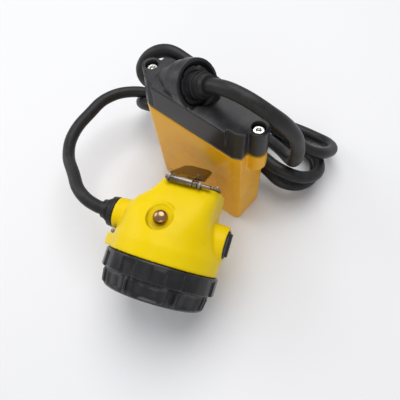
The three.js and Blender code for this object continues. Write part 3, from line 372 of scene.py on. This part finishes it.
def bevelled(node, name, width, material, body, segments=3, angle=28):
    """the CAD piece again with small rounds on its sharp edges"""
    piece = merged_copy(node, name)
    work = bmesh.new()
    work.from_mesh(piece.data)
    bmesh.ops.dissolve_limit(work, angle_limit=radians(1.0), verts=work.verts, edges=work.edges)
    work.to_mesh(piece.data)
    work.free()
    edge = piece.modifiers.new("edge", "BEVEL")
    edge.width = width
    edge.segments = segments
    edge.limit_method = "ANGLE"
    edge.angle_limit = radians(angle)
    edge.use_clamp_overlap = True
    edge.harden_normals = False
    settle(piece)
    work = bmesh.new()
    work.from_mesh(piece.data)
    bmesh.ops.triangulate(work, faces=work.faces)
    work.to_mesh(piece.data)
    work.free()
    piece.data.shade_smooth()
    piece.data.set_sharp_from_angle(angle=radians(35))
    dress(piece, material)
    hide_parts(node)
    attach(piece, body)
    return piece


def carry(piece, node, material, body):
    dress(piece, material)
    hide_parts(node)
    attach(piece, body)


# ------------------------------------------------------------------- battery case
# One amber polycarbonate moulding with chamfered corners, drafted towards its foot,
# and a screw boss at each end. The lid screws down on a rubber gasket.
case = smoothed(merged_copy("battery_case", "case_shell"), 0.00062, 5, 0.6)
carry(case, "battery_case", CASE_AMBER, "lamp")

GASKET = finish("gasket_rubber", (0.06, 0.06, 0.062), (0.08, 0.08, 0.08), (0.12, 0.12, 0.12),
                (0.2, 0.19, 0.18), (0.6, 0.75), 1600.0, 0.15)
dress(nodes["lid_gasket"], GASKET)


# -------------------------------------------------------------------- battery lid
# Black glass-filled moulding with the stepped horn that shields the cable gland.
# Two nickel socket screws in deep counterbores hold it to brass inserts in the case.
lid = smoothed(merged_copy("battery_lid", "lid_cover"), 0.00036, 3, 0.5)
carry(lid, "battery_lid", LID_BLACK, "lamp")
for side in ("left", "right"):
    bevelled(f"lid_screw_{side}", f"lid_screw_{side}_head", 0.00025, NICKEL, "lamp")


# -------------------------------------------------------------------------- gland
# A notched black nut clamps the flange of a ringed rubber boot round the cable.
bevelled("gland_nut", "gland_ring_nut", 0.0003, LID_BLACK, "lamp")
bevelled("battery_boot", "battery_cable_boot", 0.0004, RUBBER, "lamp")


# ------------------------------------------------------------------- head housing
# Lemon-yellow moulding: a dome behind the bezel that narrows to a squared neck, with a
# cable boss on one side, the switch boss on the other and a lug for the bezel's lock.
light = Vector(joints["bezel_turn"]["axis"]).normalized()
across = Vector(joints["switch_turn"]["axis"]).normalized()
crown = light.cross(across)
rim = Vector(joints["bezel_turn"]["pos_m"]) - 9 * MM * light
HEAD = Matrix.Translation(rim) @ Matrix((across, crown, light)).transposed().to_4x4()


def between(table, at):
    """value at a place along a short list of (place, value) pairs"""
    for (start, low), (end, high) in zip(table, table[1:]):
        if at <= end:
            share = (at - start) / (end - start)
            return low + (high - low) * share
    return table[-1][1]


def loft(name, sections, sides=96):
    """closed body through rings of points, in millimetres in the head's own axes"""
    mesh = bpy.data.meshes.new(name)
    points = [HEAD @ (Vector(point) * MM) for ring in sections for point in ring]
    faces = []
    for row in range(len(sections) - 1):
        for i in range(sides):
            j = (i + 1) % sides
            a, b = row * sides, (row + 1) * sides
            faces.append((a + i, a + j, b + j, b + i))
    faces.append(tuple(reversed(range(sides))))
    top = (len(sections) - 1) * sides
    faces.append(tuple(range(top, top + sides)))
    mesh.from_pydata(points, [], faces)
    mesh.update()
    piece = bpy.data.objects.new(name, mesh)
    bpy.context.scene.collection.objects.link(piece)
    work = bmesh.new()
    work.from_mesh(mesh)
    bmesh.ops.recalc_face_normals(work, faces=work.faces)
    work.to_mesh(mesh)
    work.free()
    return piece


LEFT = [(0, 28.5), (8, 28.5), (12, 28.0), (16, 27.0), (20, 25.4), (24, 23.2), (28, 20.4), (30, 18.2),
        (32, 16.0), (34, 14.4), (37, 12.9), (41, 11.5)]
RIGHT = [(0, 28.5), (8, 28.5), (14, 26.6), (18, 24.6), (22, 22.4), (26, 20.8), (30, 20.3), (41, 20.3)]
HIGH = [(0, 28.5), (8, 28.5), (14, 26.9), (20, 23.8), (26, 20.8), (31, 18.2), (36, 15.2), (41, 11.6)]


def shell_sections(inset, first, last):
    """rings of the dome, from a circle at the rim to a squared neck at the back"""
    rings = []
    steps = 28
    for k in range(steps + 1):
        depth = first + (last - first) * k / steps
        left = between(LEFT, depth) - inset
        right = between(RIGHT, depth) - inset
        high = between(HIGH, depth) - inset
        share = min(max((depth - 12) / 26, 0), 1)
        power = 2 + 3.2 * share * share * (3 - 2 * share)
        ring = []
        for i in range(96):
            angle = 2 * pi * i / 96
            c, s = cos(angle), sin(angle)
            x = (right + left) / 2 * abs(c) ** (2 / power) * (1 if c > 0 else -1)
            y = high * abs(s) ** (2 / power) * (1 if s > 0 else -1)
            ring.append((x + (right - left) / 2, y, -depth))
        rings.append(ring)
    return rings


def round_bar(name, start, end, first, second):
    """tapered bar between two points in the head's axes, in millimetres"""
    a, b = Vector(start), Vector(end)
    along = (b - a).normalized()
    side = along.orthogonal().normalized()
    up = along.cross(side)
    rings = []
    for centre, radius in ((a, first), (b, second)):
        rings.append([centre + radius * (cos(2 * pi * i / 64) * side + sin(2 * pi * i / 64) * up)
                      for i in range(64)])
    return loft(name, rings, 64)


def plate(name, outline, back, front):
    """flat plate of one outline, given as (x, y) corners in the head's axes, in millimetres"""
    rings = [[(x, y, z) for x, y in outline] for z in (back, front)]
    return loft(name, rings, len(outline))


def combine(base, tool, way):
    step = base.modifiers.new("step", "BOOLEAN")
    step.operation = way
    step.solver = "EXACT"
    step.object = tool
    settle(base)
    bpy.data.objects.remove(tool)


PORT = -17.5
CONTACT_X, CONTACT_Z = -2, -20.5
SEAT_HEIGHT = 21
LOCK_X, LOCK_Y = -28.2, 5
HOOK_X = 1.9
head = loft("head_shell", shell_sections(0, 0, 41))
for tool in (
    round_bar("collar", (0, 0, -4), (0, 0, 11.5), 25.2, 25.2),
    round_bar("cable_boss", (-32, 0, PORT), (0, 0, PORT), 8.7, 9.6),
    round_bar("switch_boss", (0, 0, PORT), (28.8, 0, PORT), 10.6, 9.2),
    plate("lug", [(-31.5, -7), (-30, -8.5), (-20, -19), (-20, 19), (-30, 8.5), (-31.5, 7)], -6.4, -0.3),
):
    combine(head, tool, "UNION")
combine(head, loft("cavity", shell_sections(2.5, 8, 38.5)), "DIFFERENCE")
contact_pad = round_bar("contact_pad", (CONTACT_X, 17.5, CONTACT_Z),
                        (CONTACT_X, 21.5, CONTACT_Z), 8.0, 7.4)
combine(head, contact_pad, "UNION")
for tool in (
    round_bar("front_bore", (0, 0, -10), (0, 0, 13), 22.9, 22.9),
    round_bar("cable_port", (-33, 0, PORT), (-20, 0, PORT), 6.2, 6.2),
    round_bar("cable_way", (-24, 0, PORT), (-14, 0, PORT), 4.0, 4.0),
    round_bar("knob_recess", (26.8, 0, PORT), (31, 0, PORT), 7.3, 7.3),
    round_bar("seal_recess", (24.4, 0, PORT), (27.5, 0, PORT), 3.9, 3.9),
    round_bar("shaft_way", (14, 0, PORT), (25, 0, PORT), 2.3, 2.3),
    round_bar("contact_seat", (CONTACT_X, SEAT_HEIGHT, CONTACT_Z), (CONTACT_X, 50, CONTACT_Z), 6.5, 6.5),
    round_bar("contact_way", (CONTACT_X, 12, CONTACT_Z), (CONTACT_X, 22, CONTACT_Z), 1.8, 1.8),
    round_bar("lock_way", (LOCK_X, LOCK_Y, -9), (LOCK_X, LOCK_Y, 1), 1.8, 1.8),
    round_bar("lock_pocket", (LOCK_X, LOCK_Y, -10), (LOCK_X, LOCK_Y, -6.4), 3.0, 3.0),
    round_bar("hook_hole_1", (HOOK_X, -5, -42), (HOOK_X, -5, -37), 1.5, 1.5),
    round_bar("hook_hole_2", (HOOK_X, 4, -42), (HOOK_X, 4, -37), 1.5, 1.5),
):
    combine(head, tool, "DIFFERENCE")
smoothed(head, 0.0005, 5, 0.5)
carry(head, "head_housing", HEAD_YELLOW, "lamp")
bevelled("head_boot", "head_cable_boot", 0.0004, RUBBER, "lamp")
bevelled("lock_screw", "bezel_lock_screw", 0.0002, STEEL_DARK_REFLECTION, "lamp")


# -------------------------------------------------------------------------- bezel
# Black screw ring that clamps the lens: a grip band of twelve blocks, then a tapering
# front with eight dished faces between pairs of ribs.
BAND_END = 9.3
BEZEL_END = 18.3
GRIP_BLOCKS = 12
DISHED_FACES = 8


def step_up(low, high, at):
    share = min(max((at - low) / (high - low), 0), 1)
    return share * share * (3 - 2 * share)


def grip_cut(angle):
    """1 in the middle of a finger recess, 0 on a raised block"""
    pitch = 2 * pi / GRIP_BLOCKS
    off = abs((angle - 0.5 * pitch + pitch / 2) % pitch - pitch / 2)
    return 1 - step_up(0.105, 0.135, off)


def rib_rise(angle):
    """1 on either of the two ribs that part neighbouring dished faces"""
    pitch = 2 * pi / DISHED_FACES
    off = abs((angle - 0.25 * pitch + pitch / 2) % pitch - pitch / 2)
    return 1 - step_up(0.022, 0.036, abs(off - 0.055))


def dish(angle):
    pitch = 2 * pi / DISHED_FACES
    off = abs((angle - 0.75 * pitch + pitch / 2) % pitch - pitch / 2)
    return 1 - step_up(0.10, 0.30, off)


def bezel_profile(angle):
    """closed outline of the ring at one angle, as (radius, height) pairs"""
    cut = grip_cut(angle)
    rise = rib_rise(angle)
    hollow = dish(angle)
    outline = [(25.6, 0.3), (29.1, 0.3), (29.6, 0.9)]
    for k in range(7):
        z = 1.2 + (BAND_END - 1.2 - 0.5) * k / 6
        outline.append((29.6 - 0.95 * cut * step_up(1.2, 1.9, z), z))
    outline.append((29.3 - 0.95 * cut, BAND_END - 0.15))
    outline.append((28.6 - 0.4 * cut, BAND_END + 0.05))
    outline.append((27.7, BAND_END + 0.2))
    for k in range(1, 9):
        share = k / 9
        z = BAND_END + 0.2 + (BEZEL_END - 1.1 - BAND_END) * share
        edge = step_up(0.0, 0.2, share) * (1 - step_up(0.85, 1.0, share))
        outline.append((27.6 - 1.3 * share + (0.85 * rise - 1.0 * hollow) * edge, z))
    outline += [(26.1, 17.3), (25.7, 17.9), (25.1, 18.3), (22.2, 18.3), (21.7, 18.1), (21.5, 17.7),
                (21.5, 15.9), (21.7, 15.7), (25.4, 15.7), (25.6, 15.5)]
    for k in range(1, 6):
        outline.append((25.6, 15.5 - 15.2 * k / 6))
    return outline


def bezel_mesh():
    turns = 384
    mesh = bpy.data.meshes.new("screw_bezel")
    points = []
    for i in range(turns):
        angle = 2 * pi * i / turns
        for radius, z in bezel_profile(angle):
            points.append(HEAD @ (Vector((radius * cos(angle), radius * sin(angle), z)) * MM))
    count = len(points) // turns
    faces = []
    for i in range(turns):
        j = (i + 1) % turns
        for k in range(count):
            m = (k + 1) % count
            faces.append((i * count + k, j * count + k, j * count + m, i * count + m))
    mesh.from_pydata(points, [], faces)
    work = bmesh.new()
    work.from_mesh(mesh)
    bmesh.ops.recalc_face_normals(work, faces=work.faces)
    work.to_mesh(mesh)
    work.free()
    mesh.shade_smooth()
    mesh.set_sharp_from_angle(angle=radians(40))
    return mesh


bezel = bpy.data.objects.new("screw_bezel", bezel_mesh())
bpy.context.scene.collection.objects.link(bezel)
carry(bezel, "bezel_ring", BEZEL_BLACK, "bezel")


# -------------------------------------------------------------------- lens and light
# Clear toughened lens on a rubber gasket, with the metallised reflector, the light
# source on its round board and the finned heat sink behind it.
CLEAR = bpy.data.materials.new("lens_clear")
CLEAR.use_nodes = True
glass = CLEAR.node_tree.nodes["Principled BSDF"]
glass.inputs["Metallic"].default_value = 0.0
glass.inputs["Transmission Weight"].default_value = 1.0
glass.inputs["IOR"].default_value = 1.49
smear = use(CLEAR, GRAIN, Scale=300.0, Depth=0.01)
CLEAR.node_tree.links.new(spread(CLEAR, smear.outputs["Mottle"], 0.02, 0.07),
                          glass.inputs["Roughness"])
CLEAR.node_tree.links.new(mixed(CLEAR, smear.outputs["Mottle"], (0.96, 0.98, 0.98), (0.93, 0.96, 0.97)),
                          glass.inputs["Base Color"])
MIRROR = finish("metallised_film", (0.88, 0.88, 0.88), (0.84, 0.84, 0.85), (0.92, 0.92, 0.92),
                (0.8, 0.8, 0.8), (0.04, 0.09), 260.0, 0.01, metallic=1.0)
BOARD = finish("board_mask", (0.03, 0.16, 0.06), (0.04, 0.20, 0.08), (0.3, 0.28, 0.12),
               (0.2, 0.3, 0.2), (0.35, 0.5), 1200.0, 0.1)
PHOSPHOR = finish("light_phosphor", (0.82, 0.66, 0.20), (0.88, 0.74, 0.28), (0.9, 0.85, 0.6),
                  (0.9, 0.85, 0.7), (0.25, 0.35), 900.0, 0.03)
ALUMINIUM = finish("sink_aluminium", (0.70, 0.71, 0.72), (0.64, 0.65, 0.66), (0.85, 0.85, 0.86),
                   (0.6, 0.6, 0.58), (0.3, 0.45), 500.0, 0.08, metallic=1.0)
dress(nodes["lens"], CLEAR)
dress(nodes["lens_gasket"], GASKET)
dress(nodes["reflector"], MIRROR)
dress(nodes["main_led"], PHOSPHOR)
dress(nodes["led_board"], BOARD)
dress(nodes["heat_sink"], ALUMINIUM)
dress(nodes["driver_board"], BOARD)


# ------------------------------------------------------------------ rotary switch
# Black knob with a raised finger bar, on a shaft through an O-ring into the switch.
SWITCH_GREY = finish("switch_plastic", (0.10, 0.10, 0.11), (0.13, 0.13, 0.14), (0.3, 0.3, 0.3),
                     (0.3, 0.3, 0.3), (0.4, 0.5), 1200.0, 0.1)
bevelled("switch_knob", "switch_turn_knob", 0.00035, KNOB_BLACK, "knob")
dress(nodes["switch_seal"], GASKET)
dress(nodes["switch_body"], SWITCH_GREY)


# --------------------------------------------------------------- charging contact
# Domed brass stud in a spot-faced seat on the crown, held by a nut inside.
bevelled("charging_contact", "charging_stud", 0.00012, BRASS, "lamp", angle=40)
dress(nodes["contact_nut"], BRASS)


# -------------------------------------------------------------------- helmet hook
# Pressed steel tongue that pivots on a pin in a screwed bracket, held out by a coil
# spring, with a bent strip and its upstanding tab beside it.
bevelled("hook_bracket", "hook_base", 0.00018, STEEL_DARK_REFLECTION, "lamp")
bevelled("hook_tongue", "hook_blade", 0.00022, STEEL_DARK_REFLECTION, "tongue")
bevelled("hook_pin", "hook_pivot_pin", 0.0002, STEEL_DARK_REFLECTION, "lamp")
bevelled("hook_catch", "hook_side_strip", 0.0002, STEEL_DARK_REFLECTION, "lamp")
for name in ("hook_screw_1", "hook_screw_2"):
    dress(nodes[name], STEEL_DARK_REFLECTION)


def spring_coil():
    """torsion spring of round wire wound on the pin between the bracket and the tongue"""
    low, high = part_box("hook_spring")
    centre = HEAD.inverted() @ ((low + high) / 2)
    wire = bpy.data.curves.new("hook_torsion_spring", "CURVE")
    wire.dimensions = "3D"
    wire.bevel_depth = 0.00026
    wire.bevel_resolution = 3
    coil = wire.splines.new("POLY")
    turns = 4
    steps = 24 * turns
    coil.points.add(steps)
    for k, point in enumerate(coil.points):
        angle = 2 * pi * k / 24
        x = centre.x + (k / steps - 0.5) * 2.0 * MM
        spot = HEAD @ Vector((x, centre.y + 1.62 * MM * cos(angle), centre.z + 1.62 * MM * sin(angle)))
        point.co = (*spot, 1.0)
    return bpy.data.objects.new("hook_torsion_spring", wire)


spring = spring_coil()
bpy.context.scene.collection.objects.link(spring)
carry(spring, "hook_spring", STEEL_DARK_REFLECTION, "lamp")


# --------------------------------------------------------------- inside the battery
# Three round cells on a foam pad, joined by a nickel strap under the protection board.
SLEEVE = finish("cell_sleeve", (0.03, 0.14, 0.32), (0.04, 0.18, 0.38), (0.3, 0.4, 0.5),
                (0.3, 0.35, 0.4), (0.3, 0.42), 700.0, 0.05)
FOAM = finish("pad_foam", (0.05, 0.05, 0.052), (0.07, 0.07, 0.07), (0.1, 0.1, 0.1),
              (0.2, 0.2, 0.2), (0.85, 0.95), 2200.0, 0.5)
for i in (1, 2, 3):
    dress(nodes[f"cell_{i}"], SLEEVE)
dress(nodes["cell_pad"], FOAM)
dress(nodes["cell_strap"], NICKEL)
dress(nodes["protection_board"], BOARD)
for side in ("left", "right"):
    dress(nodes[f"lid_insert_{side}"], BRASS)


# ------------------------------------------------------------------ table and light
# Pale matt table in soft, even light from above with a weaker window on the left.
PALE = bpy.data.materials.new("pale_table")
PALE.use_nodes = True
top = PALE.node_tree.nodes["Principled BSDF"]
top.inputs["Base Color"].default_value = (0.80, 0.80, 0.81, 1.0)
top.inputs["Roughness"].default_value = 0.55
bpy.ops.mesh.primitive_plane_add(size=4.0)
table = bpy.context.object
table.name = "table_top"
table.data.materials.append(PALE)


def soft_light(name, spot, aim, size, power):
    lamp = bpy.data.lights.new(name, "AREA")
    lamp.shape = "DISK"
    lamp.size = size
    lamp.energy = power
    holder = bpy.data.objects.new(name, lamp)
    bpy.context.scene.collection.objects.link(holder)
    facing = (Vector(aim) - Vector(spot)).to_track_quat("-Z", "Y").to_matrix().to_4x4()
    holder.matrix_world = Matrix.Translation(spot) @ facing


soft_light("overhead", (-0.15, 0.25, 0.9), (0, 0, 0), 0.9, 6.6)
soft_light("left_window", (-0.8, -0.3, 0.5), (0, 0, 0.04), 0.6, 2.2)
soft_light("front_fill", (0.5, -0.7, 0.35), (0, 0, 0.04), 0.5, 1.1)
world = bpy.data.worlds.new("room")
world.use_nodes = True
world.node_tree.nodes["Background"].inputs["Color"].default_value = (0.95, 0.96, 1.0, 1.0)
world.node_tree.nodes["Background"].inputs["Strength"].default_value = 0.46
bpy.context.scene.world = world
bpy.context.scene.view_settings.view_transform = "Standard"
